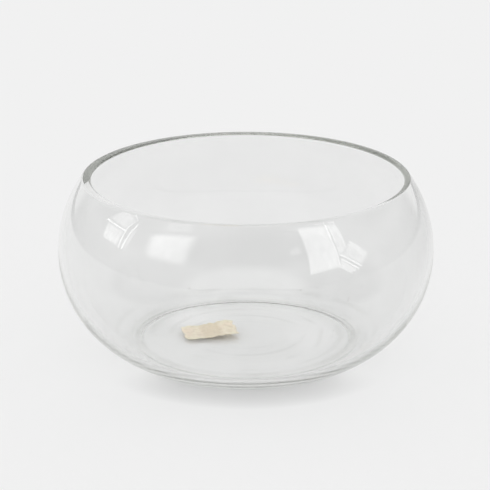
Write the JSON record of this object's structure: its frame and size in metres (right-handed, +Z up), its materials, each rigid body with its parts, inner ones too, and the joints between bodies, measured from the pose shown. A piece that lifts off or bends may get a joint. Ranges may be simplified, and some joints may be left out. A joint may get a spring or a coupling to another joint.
{
  "type": "floating candle bowl",
  "caption": "Squat round bowl of clear blown glass with a wide, drawn-in mouth, for water and floating candles; a folded strip of paper tape lies inside.",
  "frame": {"origin": "centre of the bowl's outside at table level", "axes": "+Z up through the mouth, -Y towards the viewer of the picture, +X to the viewer's right"},
  "size_m": [0.25, 0.25, 0.1205],
  "materials": {
    "clear_glass": "clear, fire-polished",
    "tan_tape": "matt, creped"
  },
  "bodies": {
    "root": {"glass_bowl": "clear_glass", "tape_strip": "tan_tape"}
  },
  "joints": []
}
